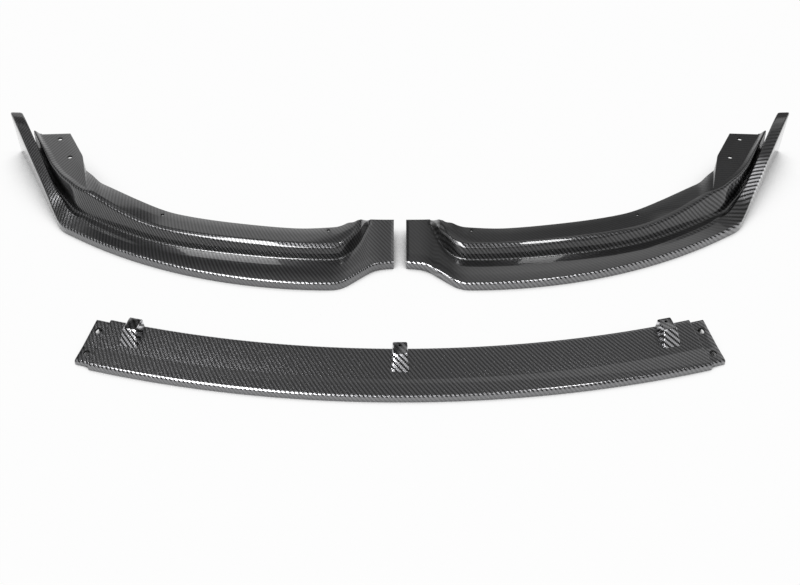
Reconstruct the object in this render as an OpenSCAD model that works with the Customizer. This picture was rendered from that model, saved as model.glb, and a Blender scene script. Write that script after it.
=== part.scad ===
// Front splitter lip in three moulded sections, laid out on the floor as it is supplied:
// two handed wings behind and the long centre blade in front of them.
// Millimetres, +X to the right, +Y to the rear, +Z up, floor at Z = 0.

/* [Moulding] */
// Wall thickness of every section
wall = 3; // [2:0.5:4]

/* [Layout] */
// Gap between the inner ends of the two wings
wing_gap = 17; // [10:1:60]
// From the foremost point of the blade to the foremost point of the wings
blade_to_wing = 201.5; // [150:1:300]

/* [Wing front edge, seen from above] */
// Straight run across the joining tab
tab_run = 14; // [8:1:30]
// How far the front edge turns forward after the tab, in degrees
dip_turn = 36; // [20:1:45]
// Straight run between the two bends beside the tab
dip_run = 36; // [20:1:50]
// Radius of the two bends beside the tab
dip_r = 35; // [30:1:60]
// Radius of the long front sweep
sweep_r = 640; // [500:10:900]
// Length of the long front sweep
sweep_run = 368; // [250:1:450]
// Straight run before the corner
corner_lead = 26; // [10:1:40]
// Radius of the corner where the front becomes the fin
corner_r = 45; // [30:1:80]
// Angle between the fin and the car's width, in degrees
fin_heading = 63; // [55:1:75]
// Length of the fin behind the corner
fin_run = 203; // [150:1:250]
// How far the fin reaches behind the mounting plate
fin_past = 41; // [25:1:80]

/* [Wing section] */
// Height of the front face
lip_h = 12; // [9:0.5:16]
// Radius of the rolled front edge
lip_r = 4; // [3.5:0.5:6]
// Depth of the joining tab
tab_d = 84; // [70:1:110]
// Height of the ridge behind the rolled front edge
shelf_h = 13.5; // [12:0.5:18]
// How steeply the joining tab and the shelf climb behind that ridge, in degrees
shelf_slope = 3.5; // [0:0.5:8]
// Depth of the shelf at the inner end
shelf_in_d = 45; // [35:1:60]
// Depth of the shelf just before the corner
shelf_out_d = 33; // [28:1:45]
// Height of the flange that meets the bumper
flange_h = 37; // [32:1:48]
// Depth of that flange
flange_d = 32; // [24:1:45]
// How far the flange falls to its rear edge
flange_fall = 2; // [0:0.5:4]
// Depth of the flange at its neck beside the mounting plate
neck_d = 27.5; // [20:0.5:40]
// Height of the mounting plate
plate_h = 54; // [50:1:60]
// Depth of the mounting plate
plate_d = 38; // [30:1:56]
// How far the flange's rear edge lies below the mounting plate where the two meet
fold_drop = 5; // [1:0.5:6]
// How far the brow rib stands above the mounting plate
brow_rise = 8; // [4:1:12]
// Width of the slanted band on the brow rib
brow_w = 9; // [6:0.5:12]
// How far the brow rib's rounded tip reaches behind the mounting plate
brow_past = 9; // [2:0.5:14]

/* [Fin] */
// Height of the fin at its tip
fin_h = 70; // [64:1:90]
// Width of the fin across its top
fin_w = 13.5; // [12:0.5:18]
// How far the fin leans outward at its tip
fin_lean = 3; // [0:0.5:8]
// Width of the slot between the fin and the brow rib
slot_w = 4.5; // [4:0.5:8]
// Height of the floor of that slot
slot_floor_h = 24; // [18:1:30]

/* [Wing holes] */
// Diameter of the two holes in the mounting plate
plate_hole_d = 7; // [5:0.5:9]
// Spacing of the two holes in the mounting plate
plate_hole_gap = 50; // [36:1:56]
// Distance of the rear hole from the plate's end
plate_hole_end = 14; // [9:1:24]
// Distance of both holes from the plate's inner edge
plate_hole_side = 17; // [9:1:22]
// Diameter of the two small holes in the flange
flange_hole_d = 4.5; // [3:0.5:6]

/* [Blade] */
// Radius of the blade's front edge
blade_r = 1381; // [1100:1:1800]
// Width of the blade between its joining tabs
blade_w = 769; // [600:1:900]
// Depth of the blade from front to rear
blade_d = 72.5; // [60:0.5:90]
// Height of the blade's front face
blade_lip_h = 10; // [8:0.5:14]
// Depth of the front shelf
blade_shelf_d = 27; // [18:1:36]
// Height of the crease behind the front shelf
blade_crease_h = 13; // [11:0.5:16]
// Height of the rear edge
blade_rear_h = 22; // [18:0.5:28]
// Length of each joining tab
blade_tab_w = 20; // [16:1:30]
// How far the tabs are set back from the blade's front edge
tab_back = 4; // [2:0.5:8]
// Diameter of the joining holes
blade_hole_d = 9; // [6:0.5:11]
// Spacing of the two joining holes on a tab
blade_hole_gap = 35; // [26:1:42]

/* [Risers] */
// Height of the risers above the floor
riser_h = 34; // [28:1:45]
// Width of a riser across its top
riser_w = 18; // [14:1:26]
// Depth of a riser's top from front to rear
riser_d = 22; // [16:1:26]
// How far the front slope of a riser runs ahead of its top
riser_slope = 15; // [8:1:20]
// How much a riser's foot is wider than its top, on each side
riser_flare = 3; // [1:0.5:6]
// How far the risers stand in front of the blade's rear edge
riser_setback = 2; // [1:0.5:6]
// Distance of the outer risers from the blade's middle
riser_x = 332; // [240:1:350]
// Diameter of the hole in the top of a riser
riser_hole_d = 4; // [3:0.5:6]

/* [Hidden] */
skin = [0.13, 0.13, 0.14];
eps = 0.01;

// A path is a list of runs, each a length and the angle that it turns through.
// A place on it is [x, y, heading].
function arc_length(r, turn) = r * turn * PI / 180;
function advance(p, l, turn) =
    turn == 0
    ? [p.x + l * cos(p.z), p.y + l * sin(p.z), p.z]
    : let (r = l / turn * 180 / PI)
      [p.x + r * (sin(p.z + turn) - sin(p.z)), p.y - r * (cos(p.z + turn) - cos(p.z)), p.z + turn];
function place_on(runs, s, p, i = 0) =
    i == len(runs) ? advance(p, s, 0)
    : s <= runs[i][0] ? advance(p, s, runs[i][1] * s / runs[i][0])
    : place_on(runs, s - runs[i][0], advance(p, runs[i][0], runs[i][1]), i + 1);

// A smooth curve through [s, value] pairs that never swings past them.
function rise(t, i) = (t[i + 1][1] - t[i][1]) / (t[i + 1][0] - t[i][0]);
function slope_at(t, i) =
    i == 0 || i == len(t) - 1 ? 0
    : let (a = rise(t, i - 1), b = rise(t, i)) a * b <= 0 ? 0 : 2 * a * b / (a + b);
function smooth(t, s, i = 0) =
    s <= t[0][0] ? t[0][1]
    : i == len(t) - 1 ? t[i][1]
    : s > t[i + 1][0] ? smooth(t, s, i + 1)
    : let (d = t[i + 1][0] - t[i][0], u = (s - t[i][0]) / d)
      t[i][1] * (2 * u ^ 3 - 3 * u ^ 2 + 1) + t[i + 1][1] * (3 * u ^ 2 - 2 * u ^ 3)
      + d * (slope_at(t, i) * (u ^ 3 - 2 * u ^ 2 + u) + slope_at(t, i + 1) * (u ^ 3 - u ^ 2));
function spread(a, b, n) = [for (i = [0:n - 1]) a + (b - a) * i / n];

// Front edge of a wing, from its inner end. The turns add up to the fin's heading.
tab_heading = -6;
sweep_turn = sweep_run / sweep_r * 180 / PI;
corner_turn = fin_heading - sweep_turn;
front_runs = [
    [tab_run, 0],
    [arc_length(dip_r, dip_turn), -dip_turn],
    [dip_run, 0],
    [arc_length(dip_r, dip_turn - tab_heading), dip_turn - tab_heading],
    [sweep_run, sweep_turn],
    [corner_lead, 0],
    [arc_length(corner_r, corner_turn), corner_turn],
    [fin_run, 0]
];
function run_sum(n) = n == 0 ? 0 : front_runs[n - 1][0] + run_sum(n - 1);
dip_end = run_sum(4);
sweep_end = run_sum(5);
corner_start = run_sum(6);
corner_end = run_sum(7);
front_end = run_sum(8);
body_end = front_end - fin_past;
raw_dip = place_on(front_runs, dip_end, [0, 0, tab_heading]);
front_start = [0, -raw_dip.y, tab_heading];
function front_at(s) = place_on(front_runs, s, front_start);

// Sections run back from the front edge and fan round, so that the last one closes the plate.
end_fan = 87;
function section_angle(s) = 90 + end_fan * (s / body_end) ^ 2;
// Behind the station that is square to the fin, depths are measured square to the fin too.
square_at = body_end * sqrt(fin_heading / end_fan);
function slant(s) = s < square_at ? 1 : 1 / sin(section_angle(s) - fin_heading);

// Stations where the form changes: near the tab, along the sweep and along the fin
facet_start = tab_run + 21;
facet_top = facet_start + 18;
facet_end = facet_start + 33;
function on_sweep(share) = dip_end + share * sweep_run;
function on_fin(share) = corner_end + share * fin_run;
flange_even = on_sweep(0.16);
climb_start = on_sweep(0.67);
neck_start = on_sweep(0.79);
turned_out = on_fin(0.05);
half_up = on_fin(0.22);
slot_start = on_fin(0.39);

// The mounting plate steps down to the flange along a fold that starts at the crease and
// crosses the sections. The rear ends of its lower and upper edges are this far behind its
// start, measured along the front edge.
fold = corner_start + 0.25 * (corner_end - corner_start);
fold_w = 0.6;
fold_low = 54;
fold_high = 80;
skew = [[on_sweep(0.69), 0], [fold, fold_low], [fold + fold_w, fold_high], [body_end, 0]];

// Depths of the section's corners behind the front edge. On the flat tab the last ones share
// a strip along its rear edge.
tab_rear_y = front_start.y + tab_d;
function tab_rear_d(s) = tab_rear_y - front_at(s).y;
tab_strip = 12;
rear_line = fin_w + slot_w + brow_w + plate_d;
floor_rear = [
    [facet_start, tab_rear_d(facet_start) - tab_strip], [facet_top, shelf_in_d + 15],
    [facet_end, shelf_in_d + 5], [dip_end, shelf_in_d], [on_sweep(0.3), shelf_in_d - 1.5],
    [neck_start, shelf_out_d], [corner_start, shelf_out_d - 1.5], [turned_out, fin_w + 12.3],
    [half_up, fin_w + 6.5], [slot_start, fin_w + slot_w]
];
floor_w = [
    [dip_end, 14], [sweep_end, 10], [corner_start, 6], [turned_out, 4.5], [slot_start, slot_w - 0.7]
];
brow_foot = [
    [facet_start, 3], [facet_top, 5], [facet_end, 3], [neck_start, 3.5], [corner_start, 7],
    [turned_out, 5], [half_up, 1.8], [slot_start, 0.5]
];
brow_band = [
    [facet_start, 4], [facet_top, 13], [facet_end, 5.5], [climb_start, 6], [corner_start, brow_w - 1],
    [turned_out, brow_w + 0.6], [slot_start, brow_w], [body_end, brow_w - 2]
];
flange_run = [
    [facet_start, 5], [facet_top - 6, 1.3], [facet_top, 5], [facet_top + 7, flange_d / 2 + 0.5],
    [facet_end, flange_d - 4.5], [facet_end + 12, flange_d + 2.8], [flange_even, flange_d],
    [neck_start, flange_d], [corner_start, neck_d],
    [fold + fold_low, neck_d + 0.5], [slot_start, plate_d - 0.5]
];
ridge_d = [
    [climb_start, 17], [sweep_end, 18], [corner_start, 21.5], [turned_out, fin_w + 4],
    [half_up, fin_w + 0.8], [slot_start, fin_w]
];

// Heights of the section's corners
lip_top = [
    [corner_start, lip_h], [on_fin(0.04), lip_h + 4], [on_fin(0.15), lip_h + 18],
    [on_fin(0.49), fin_h - 20], [front_end - 12, fin_h]
];
ridge_top = [
    [on_sweep(0.86), shelf_h], [sweep_end, shelf_h + 1], [corner_start, shelf_h + 4],
    [on_fin(0.04), shelf_h + 14], [half_up, shelf_h + 26], [on_fin(0.49), fin_h - 16],
    [front_end - 12, fin_h + 1]
];
floor_top = [[climb_start, shelf_h], [corner_start, shelf_h + 4], [slot_start, slot_floor_h]];
floor_slope = [[climb_start, shelf_slope], [corner_start, 0]];
function shelf_top(s, d) = smooth(floor_top, s) + (d - smooth(ridge_d, s)) * tan(smooth(floor_slope, s));
tab_rear_h = shelf_top(facet_start, tab_rear_d(facet_start) - tab_strip / 2);
brow_top = [
    [facet_start, tab_rear_h], [facet_top, flange_h - 4], [facet_end, flange_h - 4],
    [climb_start, flange_h - 1], [sweep_end, plate_h - 4], [corner_start, plate_h + 1],
    [slot_start, plate_h + brow_rise - 3], [body_end - 30, plate_h + brow_rise]
];
crease_top = [
    [facet_start, tab_rear_h], [facet_top, flange_h - 1], [facet_end, flange_h],
    [climb_start, flange_h], [sweep_end, plate_h - 4], [fold, plate_h]
];
rear_fall = [
    [facet_top, 0], [flange_even, flange_fall], [neck_start, flange_fall], [fold, fold_drop],
    [fold + fold_w, 0]
];

// The fin's rear end is rounded: everything draws in by this much
tip_r = 3;
function tip_in(s) =
    s <= front_end - tip_r ? 0 : tip_r - sqrt(max(0, tip_r ^ 2 - (s - front_end + tip_r) ^ 2));

// The brow rib's tip is rounded: it comes down by this much behind the plate
brow_end = body_end + brow_past;
function tip_down(s) =
    s <= body_end ? 0 : brow_past - sqrt(max(0, brow_past ^ 2 - (s - body_end) ^ 2));

// The corners of one section, as [depth, height] from the front edge's foot to the rear edge
function corners(s) =
    let (e = tip_in(s), down = tip_down(s), on_tab = s <= facet_start, wide = slant(s),
         floor_d = on_tab ? tab_rear_d(s) - tab_strip : smooth(floor_rear, s),
         front_d = floor_d - smooth(floor_w, s),
         foot_d = floor_d + smooth(brow_foot, s), band_d = foot_d + smooth(brow_band, s),
         rear_d = on_tab ? tab_rear_d(s)
             : s > slot_start ? rear_line
             : band_d + smooth(flange_run, s),
         middle_d = (band_d + rear_d) / 2, fall = smooth(rear_fall, s),
         lip = smooth(lip_top, s), out = fin_lean * (lip - lip_h) / (fin_h - lip_h))
    concat(
        [
            [e, 0],
            [e - out, lip - e],
            [wide * smooth(ridge_d, s) - e, smooth(ridge_top, s) - e],
            [wide * front_d - e, shelf_top(s, front_d)],
            [wide * floor_d, shelf_top(s, floor_d)]
        ],
        on_tab ? [for (d = [foot_d, band_d, middle_d, rear_d]) [wide * d, shelf_top(s, d)]] : [
            [wide * foot_d, smooth(brow_top, s) - down],
            [wide * band_d, smooth(crease_top, s) - down],
            [wide * middle_d, smooth(crease_top, s) - fall / 2 - down],
            [wide * rear_d, smooth(crease_top, s) - fall - down]
        ]
    );

// Each corner's radius and its number of points
least_radius = 0.4;
least_cut = 0.8;
side_share = 0.45;
wing_rounding = [[0, 1], [lip_r, 4], [3.5, 3], [2, 2], [9, 4], [5, 3], [6, 3], [0, 1], [0, 1]];
function unit(v) = v / norm(v);
function right_of(v) = [v.y, -v.x];
function way(c, i) = unit(c[i + 1] - c[i]);
function mitre(c, i) =
    i == 0 ? right_of(way(c, 0))
    : i == len(c) - 1 ? right_of(way(c, i - 1))
    : let (a = right_of(way(c, i - 1)), b = right_of(way(c, i))) (a + b) / (1 + a * b);
function inset(c, d) = [for (i = [0:len(c) - 1]) c[i] + d * mitre(c, i)];
// A section with its corners rounded. After an inset by d, radii shrink outside and grow inside.
function rounded(c, rounding, d) =
    [for (i = [0:len(c) - 1]) let (n = rounding[i][1])
        if (n == 1) c[i]
        else let (
            back = norm(c[i] - c[i - 1]), ahead = norm(c[i + 1] - c[i]),
            u = way(c, i - 1), v = way(c, i),
            turn = acos(min(1, u * v)), convex = cross(u, v) < 0,
            r = max(least_radius, rounding[i][0] + (convex ? -d : d)),
            cut = min(max(r * tan(turn / 2), least_cut), side_share * back, side_share * ahead),
            p = c[i] - cut * u, q = c[i] + cut * v
        ) for (k = [0:n - 1]) let (t = k / (n - 1))
            (1 - t) ^ 2 * p + 2 * t * (1 - t) * c[i] + t ^ 2 * q];

function in_space(s, profile) =
    let (p = front_at(s), a = section_angle(s))
    [for (q = profile) [p.x + q.x * cos(a), p.y + q.x * sin(a), q.y]];
function section(s, d) =
    in_space(s, rounded(d == 0 ? corners(s) : inset(corners(s), d), wing_rounding, d));
// One row of points. The last two, on the flange or the plate, move along with the fold.
function face(s, d) =
    let (own = section(s, d), k = len(own) - 1, rear = section(s + smooth(skew, s), d)[k],
         middle = (own[k - 2] + rear) / 2)
    [for (i = [0:k]) i < k - 1 ? own[i] : let (p = i < k ? middle : rear) [p.x, p.y, own[i].z]];

stations = concat(
    spread(0, facet_start, 3), spread(facet_start, facet_top, 3), spread(facet_top, facet_end, 3),
    spread(facet_end, dip_end, 3), spread(dip_end, sweep_end, 14), spread(sweep_end, corner_start, 3),
    [corner_start, fold], spread(fold + fold_w, corner_end, 4), spread(corner_end, body_end, 13),
    spread(body_end, brow_end, 4), spread(brow_end, front_end - tip_r, 3),
    [front_end - tip_r, front_end - tip_r / 3, front_end]
);
last_row = len(stations) - 1;
function rows_to(end) = len([for (s = stations) if (s < end - eps) s]);
body_rows = rows_to(body_end);
brow_rows = rows_to(brow_end);
function points_to(corner) =
    corner == 0 ? 0 : wing_rounding[corner - 1][1] + points_to(corner - 1);
points_across = points_to(len(wing_rounding));
fin_points = points_to(4);
brow_points = points_to(7);

// A shell from an outer and an inner grid of points. Behind the plate only the columns of the
// fin and the brow rib go on, and then the fin's alone. Every open edge of the grid is closed
// by a strip of wall.
module wing_shell() {
    n = points_across;
    outer = [for (s = stations) each face(s, 0)];
    inner = [for (s = stations) each face(s, wall)];
    shift = len(outer);
    function there(i, k) =
        i >= 0 && i < last_row && k >= 0
        && k < (i < body_rows ? n : i < brow_rows ? brow_points : fin_points) - 1;
    cells = [for (i = [0:last_row - 1], k = [0:n - 2]) if (there(i, k)) [i, k]];
    skins = [for (c = cells) let (a = c[0] * n + c[1], b = a + n)
        each [[a, b + 1, b], [a, a + 1, b + 1],
              [shift + a, shift + b, shift + b + 1], [shift + a, shift + b + 1, shift + a + 1]]];
    edges = [for (c = cells) let (i = c[0], k = c[1], a = i * n + k, b = a + n) each concat(
        there(i - 1, k) ? [] : [[a, a + 1]],
        there(i + 1, k) ? [] : [[b + 1, b]],
        there(i, k - 1) ? [] : [[b, a]],
        there(i, k + 1) ? [] : [[a + 1, b + 1]])];
    rims = [for (e = edges) each
        [[e[0], shift + e[1], e[1]], [e[0], shift + e[0], shift + e[1]]]];
    polyhedron(points = concat(outer, inner), faces = concat(skins, rims), convexity = 10);
}

// The wall that closes the fin's rear end. It stops half a wall inside the fin's faces.
end_setback = 0.4;
module fin_end_wall() {
    function half_in(s) = let (c = inset(corners(s), wall / 2)) in_space(s, [for (i = [0:3]) c[i]]);
    rear = front_end - end_setback;
    front = rear - wall;
    hull() polyhedron(
        points = concat(half_in(front), half_in(rear)),
        faces = [[0, 1, 2, 3], [7, 6, 5, 4], [0, 4, 5, 1], [1, 5, 6, 2], [2, 6, 7, 3], [3, 7, 4, 0]]
    );
}

// Holes, in the wing's own plan. The flange's lie a share of the way from its crease to its
// rear edge, and the plate's lie on a line along its rear edge, from its end.
function flange_place(s, share) =
    let (c = corners(s), d = (1 - share) * c[6].x + share * c[8].x)
    in_space(s, [[d, c[7].y]])[0];
flange_holes = [flange_place(dip_end + 7, 0.82), flange_place(on_sweep(0.73), 0.7)];
along_fin = [cos(fin_heading), sin(fin_heading), 0];
plate_end = in_space(body_end, [[slant(body_end) * (rear_line - plate_hole_side), plate_h]])[0];
plate_holes = [for (k = [0, 1]) plate_end - (plate_hole_end + k * plate_hole_gap) * along_fin];

module hole(at, d, depth) {
    translate(at - [0, 0, depth]) cylinder(h = 2 * depth, d = d, $fn = 48);
}

module wing() {
    difference() {
        union() {
            wing_shell();
            fin_end_wall();
        }
        for (h = flange_holes) hole(h, flange_hole_d, 2 * wall);
        for (h = plate_holes) hole(h, plate_hole_d, 2 * wall);
    }
}

// Where the sections lie
set_depth = blade_to_wing + front_at(front_end).y;
wing_y = blade_to_wing - set_depth / 2;

module right_wing() {
    color(skin) translate([wing_gap / 2, wing_y, 0]) wing();
}

module left_wing() {
    color(skin) mirror([1, 0, 0]) translate([wing_gap / 2, wing_y, 0]) wing();
}

// The blade is one section swept round an arc, with its rear edge turned down to the floor.
// Its corners are [depth, height] from the front edge's foot.
blade_half = asin(blade_w / 2 / blade_r);
tab_turn = blade_tab_w / blade_r * 180 / PI;
step_turn = wall / blade_r * 180 / PI;
step_thickness = 2 * wall + 0.5;
blade_centre_y = blade_r - set_depth / 2;
riser_hole_r = blade_r - blade_d + riser_setback + wall + riser_hole_d;
blade_rounding = [[0, 1], [4, 5], [30, 5], [4, 5], [0, 1]];
function blade_corners(drop, back) = [
    [back, 0],
    [back, blade_lip_h - drop],
    [blade_shelf_d, blade_crease_h - drop],
    [blade_d - back / 2, blade_rear_h - drop],
    [blade_d - back / 2, 0]
];
function reversed(list) = [for (i = [len(list) - 1:-1:0]) list[i]];

module blade_sweep(from, to, drop, back, thickness) {
    c = blade_corners(drop, back);
    skin_out = rounded(c, blade_rounding, 0);
    skin_in = rounded(inset(c, thickness), blade_rounding, thickness);
    rotate([0, 0, from - 90]) rotate_extrude(angle = to - from, $fn = 720)
        polygon([for (q = concat(skin_out, reversed(skin_in))) [blade_r - q.x, q.y]]);
}

// One end of the blade: a step down by one wall, so that a wing's tab can lie flush, and the tab
module blade_end() {
    blade_sweep(blade_half - step_turn, blade_half, 0, 0, step_thickness);
    blade_sweep(blade_half - step_turn / 3, blade_half + tab_turn, wall, tab_back, wall);
}

module riser_block(inward, foot) {
    rear = blade_r - blade_d + riser_setback + inward;
    half = riser_w / 2 - inward;
    slab = 0.5;
    hull() {
        translate([rear, -half, riser_h - inward - slab])
            cube([riser_d - 2 * inward, 2 * half, slab]);
        translate([rear, -half - riser_flare, foot])
            cube([riser_d + riser_slope - 2 * inward, 2 * (half + riser_flare), slab]);
    }
}

module at_risers() {
    riser_turn = asin(riser_x / (blade_r - blade_d + riser_d / 2));
    for (turn = [-riser_turn, 0, riser_turn]) rotate([0, 0, turn - 90]) children();
}

// The joining holes are square to the line between their places on the sloping tab.
function tab_top(d) = let (c = blade_corners(wall, tab_back)) lookup(d, [c[1], c[2], c[3]]);
tab_tops = [for (step = [-1, 1]) tab_top((blade_d + step * blade_hole_gap) / 2)];
tab_tilt = atan((tab_tops[1] - tab_tops[0]) / blade_hole_gap);
tab_hole_h = (tab_tops[0] + tab_tops[1] - wall) / 2;
tab_hole_step = blade_hole_gap / cos(tab_tilt) / 2;

module blade_holes() {
    for (side = [-1, 1]) rotate([0, 0, side * (blade_half + tab_turn / 2) - 90])
        translate([blade_r - blade_d / 2, 0, tab_hole_h]) rotate([0, tab_tilt, 0])
            for (step = [-1, 1]) hole([step * tab_hole_step, 0, 0], blade_hole_d, 2 * wall);
}

module centre_blade() {
    riser_foot = blade_crease_h - wall;
    color(skin) translate([0, blade_centre_y, 0]) difference() {
        union() {
            blade_sweep(step_turn - blade_half, blade_half - step_turn, 0, 0, wall);
            blade_end();
            mirror([1, 0, 0]) blade_end();
            at_risers() riser_block(0, riser_foot);
        }
        at_risers() riser_block(wall, -eps);
        at_risers() hole([riser_hole_r, 0, riser_h], riser_hole_d, 2 * wall);
        blade_holes();
    }
}

left_wing();
right_wing();
centre_blade();
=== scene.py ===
# %% [markdown]
# # A carbon-look front splitter lip
# The real lip is three thin mouldings that lie on a white studio floor before they are fitted:
# a left and a right wing, and a long centre blade with three small risers. Each is one skin,
# about 3 mm thick, open underneath, with a twill print under a thick clear coat.
#
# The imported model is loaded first. It fixes every size, and the lessons below make finer skins
# in its place, because a glossy coat shows each flat facet of a coarse mesh.

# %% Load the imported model
import math

import bpy
import numpy as np
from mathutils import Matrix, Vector


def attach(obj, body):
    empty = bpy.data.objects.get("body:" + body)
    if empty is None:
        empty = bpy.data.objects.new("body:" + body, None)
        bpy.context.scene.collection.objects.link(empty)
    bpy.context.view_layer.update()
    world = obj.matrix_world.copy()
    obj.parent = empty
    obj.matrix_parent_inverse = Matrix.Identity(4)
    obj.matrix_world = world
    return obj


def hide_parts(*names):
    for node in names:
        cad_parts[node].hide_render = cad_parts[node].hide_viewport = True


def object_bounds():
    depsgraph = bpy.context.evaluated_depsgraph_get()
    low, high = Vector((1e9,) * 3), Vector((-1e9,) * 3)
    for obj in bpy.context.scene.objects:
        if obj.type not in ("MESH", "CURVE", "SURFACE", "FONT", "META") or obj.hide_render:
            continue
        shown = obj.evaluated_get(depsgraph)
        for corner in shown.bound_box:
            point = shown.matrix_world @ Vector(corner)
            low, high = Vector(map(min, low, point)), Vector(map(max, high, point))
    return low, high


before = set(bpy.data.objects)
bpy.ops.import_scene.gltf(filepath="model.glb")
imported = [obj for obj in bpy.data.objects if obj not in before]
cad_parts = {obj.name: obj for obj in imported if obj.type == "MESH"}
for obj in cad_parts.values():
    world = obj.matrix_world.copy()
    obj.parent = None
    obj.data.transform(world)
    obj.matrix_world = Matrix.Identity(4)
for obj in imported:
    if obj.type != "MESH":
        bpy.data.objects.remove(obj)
cad_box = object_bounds()
MM = 0.001
print("nodes", sorted(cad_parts), "box", [tuple(round(v, 4) for v in c) for c in cad_box])

# %% [markdown]
# ## The camera
# The photograph was taken from in front and well above, through a fairly long lens. The view
# angle across the picture is 35 degrees and the camera looks 42 degrees down, so a 36 mm wide
# sensor needs a lens of about 57 mm.

# %% Camera
VIEW_ANGLE = math.radians(35)
VIEW_DOWN = math.radians(42)
VIEW_DISTANCE = 1672 * MM
SENSOR = 36
LOOK_AT = Vector((0, -60.8 * MM, 0))
back = Vector((0, -math.cos(VIEW_DOWN), math.sin(VIEW_DOWN)))
bpy.ops.object.camera_add(
    location=LOOK_AT + VIEW_DISTANCE * back, rotation=(math.pi / 2 - VIEW_DOWN, 0, 0)
)
camera = bpy.context.object
camera.data.sensor_width = SENSOR
camera.data.lens = SENSOR / 2 / math.tan(VIEW_ANGLE / 2)
bpy.context.scene.camera = camera
bpy.context.scene.view_settings.view_transform = "Standard"
print("lens", round(camera.data.lens, 1), "mm")

# %% [markdown]
# ## Shader maths in plain sums
# A print is easier to read as a sum than as a picture of wires. This small class wraps a node's
# output, so that `a * b + 1` adds the Math nodes that it needs. Every other node comes from
# one function, which sets the node's options and then its sockets.


# %% A socket that can be added and multiplied
class Sock:
    def __init__(self, tree, out):
        self.tree, self.out = tree, out

    def node(self, kind, settings=None, **sockets):
        return make_node(self.tree, kind, settings, **sockets)

    def other(self, name):
        """Another output of the same node."""
        return Sock(self.tree, self.out.node.outputs[name])

    def parts(self):
        """The three parts of a vector."""
        split = self.node("SeparateXYZ", None, Vector=self)
        return [split.other(axis) for axis in "XYZ"]

    def maths(self, operation, *values):
        node = self.tree.nodes.new("ShaderNodeMath")
        node.operation = operation
        for slot, value in zip(node.inputs, (self, *values)):
            plug(self.tree, slot, value)
        return Sock(self.tree, node.outputs[0])

    def ramp(self, low, high):
        """From 0 at low to 1 at high, with soft ends."""
        settings = {"interpolation_type": "SMOOTHSTEP"}
        return self.node("MapRange", settings, Value=self, From_Min=low, From_Max=high)

    def __add__(self, other):
        return self.maths("ADD", other)

    __radd__ = __add__

    def __mul__(self, other):
        return self.maths("MULTIPLY", other)

    def __sub__(self, other):
        return self.maths("SUBTRACT", other)

    def __rsub__(self, other):
        return self.maths("MULTIPLY", -1).maths("ADD", other)

    def __mod__(self, other):
        return self.maths("FLOORED_MODULO", other)

    def __lt__(self, other):
        return self.maths("LESS_THAN", other)


def plug(tree, slot, value):
    """Links a socket, or writes a plain value into it."""
    if isinstance(value, Sock):
        tree.links.new(value.out, slot)
    else:
        slot.default_value = value


def make_node(tree, kind, settings=None, **sockets):
    """Adds a node, sets its options first and then its sockets, and returns its first output."""
    node = tree.nodes.new("ShaderNode" + kind)
    for name, value in (settings or {}).items():
        setattr(node, name, value)
    for name, value in sockets.items():
        plug(tree, node.inputs[name.replace("_", " ")], value)
    return Sock(tree, node.outputs[0])


def new_material(name):
    """A material, its node tree and its main shader."""
    material = bpy.data.materials.new(name)
    material.use_nodes = True
    return material, material.node_tree, material.node_tree.nodes["Principled BSDF"]


def grey_colour(value, blue=1.0):
    return value.node("CombineColor", None, Red=value, Green=value, Blue=value * blue)


# %% [markdown]
# ## The twill print
# The print looks like cloth woven two over, two under. Bundles of fibre about 1.6 mm wide cross
# at right angles, and each row steps one bundle on, which gives the diagonal stripes. On all
# three mouldings the stripes fall 55 degrees to the right of the sweep, and they bend with it,
# so the pattern reads a UV map that is laid along each skin in metres, and not the plain room
# coordinates.
#
# Under the coat the bundles that run one way shine like dull metal, and the others stay nearly
# black. The shine that the lamps would give the fibres is painted into the base colour: each way
# a face can turn has its own painted pair of greys, so these are lit and shaded copies of one
# print. Rolled front edges are painted with white stripes on black, and the front faces under
# them an almost even grey. On faces that look up, the stripes are painted to show on the left
# wing and the blade but not on the right wing. The right fin's top has one more painted
# highlight, a patch of bright stripes half way along.
# A slight crown on each bundle bends the shine, and the clear coat over it stays smooth. The
# blade's print shines more sharply than the wings', so that the strip light on the left doesn't
# pale its left end.

# %% Twill under a clear coat
BUNDLE, REPEAT, LIGHT_SHARE = 1.6 * MM, 4, 2
STRIPE_ANGLE = math.radians(-55)
QUARTER = math.pi / 4
CROWN_POWER, CROWN_SHADE, CROWN_BUMP, CROWN_DEPTH = 4, 0.4, 0.3, 0.08 * MM
BLUE_CAST, PRINT_ROUGHNESS = 1.03, 0.36
COAT_ROUGHNESS, COAT_IOR = 0.03, 1.5
FRONT_TOP, FRONT_FADE = 12 * MM, 2 * MM
LEANING, LEVEL = (0.15, 0.45), (0.88, 0.985)
GLINT_LINE, GLINT_RUN = (420 * MM, 424 * MM), 0.5
GLINT_START, GLINT_END = (95 * MM, 125 * MM), (150 * MM, 175 * MM)


def across_bundles(lay, angle):
    """How many bundles lie between the UV origin and a point, counted along this angle."""
    u, v, _ = lay.parts()
    return u * (math.cos(angle) / BUNDLE) + v * (math.sin(angle) / BUNDLE)


def fin_glint(x, y):
    """A painted highlight half way along the right fin, which runs back and outwards one in two."""
    past_line = (x - y * GLINT_RUN).ramp(*GLINT_LINE)
    return past_line * y.ramp(*GLINT_START) * (1 - y.ramp(*GLINT_END))


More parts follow.
